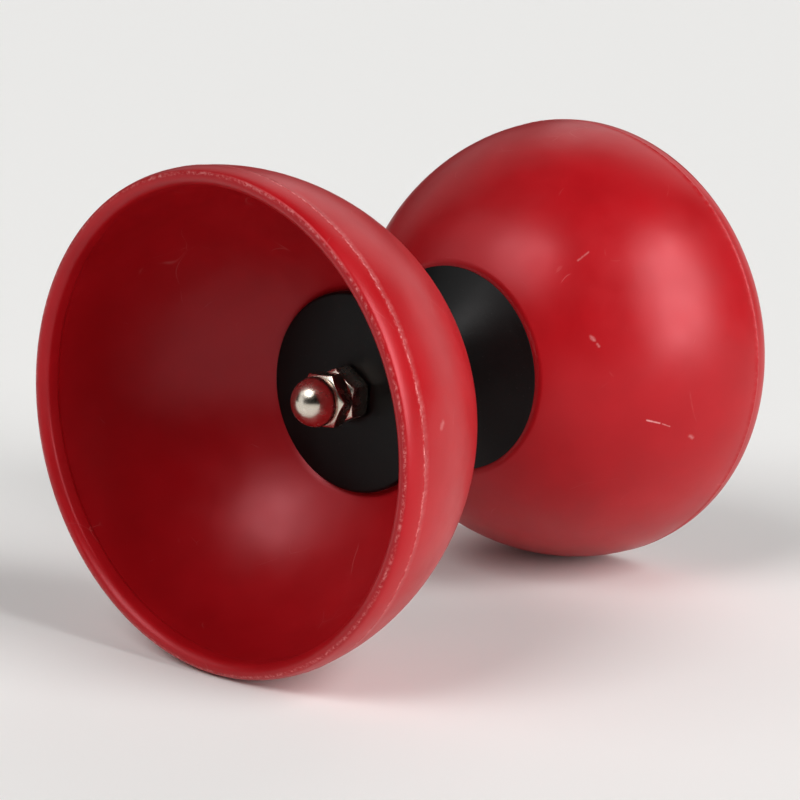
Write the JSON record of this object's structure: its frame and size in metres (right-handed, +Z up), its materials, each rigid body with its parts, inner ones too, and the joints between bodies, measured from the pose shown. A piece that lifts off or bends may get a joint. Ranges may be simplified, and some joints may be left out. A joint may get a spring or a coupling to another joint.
{
  "type": "diabolo",
  "caption": "Juggling diabolo: two bowl-shaped rubber cups on black hub cones, joined by an axle with a freely turning string sleeve and locked with nuts.",
  "frame": {"origin": "centre of the axle, half way between the two rim faces", "axes": "+X along the spin axis towards the right cup, +Z up with the diabolo lying on both rims, +Y completing a right-handed frame"},
  "size_m": [0.15, 0.1234, 0.1234],
  "materials": {
    "cup_rubber": "satin moulded red rubber",
    "hub_plastic": "satin moulded black plastic",
    "nut_nickel": "bright nickel plate",
    "axle_steel": "turned steel",
    "sleeve_steel": "turned and polished steel",
    "bearing_steel": "ground bearing steel",
    "cage_nylon": "natural nylon"
  },
  "bodies": {
    "cups_and_axle": {"cup_left": "cup_rubber", "cup_right": "cup_rubber", "hub_cone_left": "hub_plastic", "hub_cone_right": "hub_plastic", "hub_cap_left": "hub_plastic", "hub_cap_right": "hub_plastic", "jam_nut_left": "nut_nickel", "jam_nut_right": "nut_nickel", "acorn_nut_left": "nut_nickel", "acorn_nut_right": "nut_nickel", "spacer_left": "axle_steel", "spacer_right": "axle_steel", "bearing_inner_ring_left": "bearing_steel", "bearing_inner_ring_right": "bearing_steel", "axle": "axle_steel"},
    "string_sleeve": {"axle_sleeve": "sleeve_steel", "bearing_outer_ring_left": "bearing_steel", "bearing_outer_ring_right": "bearing_steel", "bearing_shields_left": "bearing_steel", "bearing_shields_right": "bearing_steel", "clutch_shell": "bearing_steel", "clutch_rollers": "bearing_steel", "clutch_cage": "cage_nylon"},
    "ball_set_left": {"bearing_balls_left": "bearing_steel", "ball_cage_left": "cage_nylon"},
    "ball_set_right": {"bearing_balls_right": "bearing_steel", "ball_cage_right": "cage_nylon"}
  },
  "joints": [
    {"name": "sleeve_spin", "type": "hinge", "parent": "cups_and_axle", "child": "string_sleeve", "pos_m": [0, 0, 0], "axis": [1, 0, 0], "continuous": true},
    {"name": "ball_set_left_spin", "type": "hinge", "parent": "cups_and_axle", "child": "ball_set_left", "pos_m": [-0.009, 0, 0], "axis": [1, 0, 0], "continuous": true},
    {"name": "ball_set_right_spin", "type": "hinge", "parent": "cups_and_axle", "child": "ball_set_right", "pos_m": [0.009, 0, 0], "axis": [1, 0, 0], "continuous": true}
  ],
  "couplings": [
    {"joint": "ball_set_left_spin", "follows": "sleeve_spin", "ratio": 0.5992},
    {"joint": "ball_set_right_spin", "follows": "sleeve_spin", "ratio": 0.5992}
  ]
}
